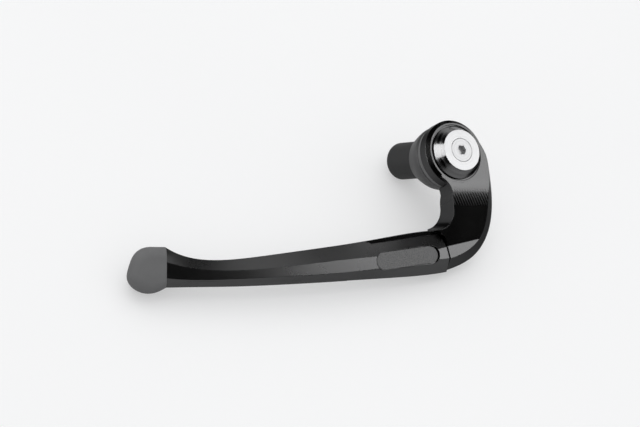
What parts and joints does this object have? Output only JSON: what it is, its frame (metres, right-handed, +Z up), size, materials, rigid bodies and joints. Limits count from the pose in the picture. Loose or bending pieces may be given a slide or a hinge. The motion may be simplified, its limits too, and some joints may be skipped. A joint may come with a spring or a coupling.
{
  "type": "brake lever guard",
  "caption": "Bar-end brake lever guard for a motorcycle: a hooked black arm and curved faceted blade with a rounded tip, clamped to an expanding handlebar plug.",
  "frame": {"origin": "centre of the bounding box's foot, with the guard lying on its plug, its hook and its tip", "axes": "+Z up, +X along the guard from the tip towards the eyelet, +Y from the blade towards the plug"},
  "size_m": [0.1714, 0.0719, 0.0449],
  "materials": {
    "black_anodised": "satin black anodised",
    "blade_anodised": "satin black anodised",
    "badge_satin": "fine satin, bare",
    "tip_polymer": "matte grey",
    "screw_black": "black oxide",
    "cap_turned": "turned bright",
    "screw_bright": "bright",
    "washer_satin": "satin grey anodised",
    "collar_satin": "satin grey anodised",
    "sleeve_rubber": "matte black",
    "bolt_black": "black oxide"
  },
  "bodies": {
    "root": {"guard_arm": "black_anodised", "guard_blade": "blade_anodised", "badge_plate": "badge_satin", "tip_cap": "tip_polymer", "blade_screws": "screw_black", "clamp_cap": "cap_turned", "clamp_screw": "screw_bright", "seat_washer": "washer_satin", "bar_end_collar": "collar_satin", "expander_sleeve": "sleeve_rubber", "expander_bolt": "bolt_black"}
  },
  "joints": []
}
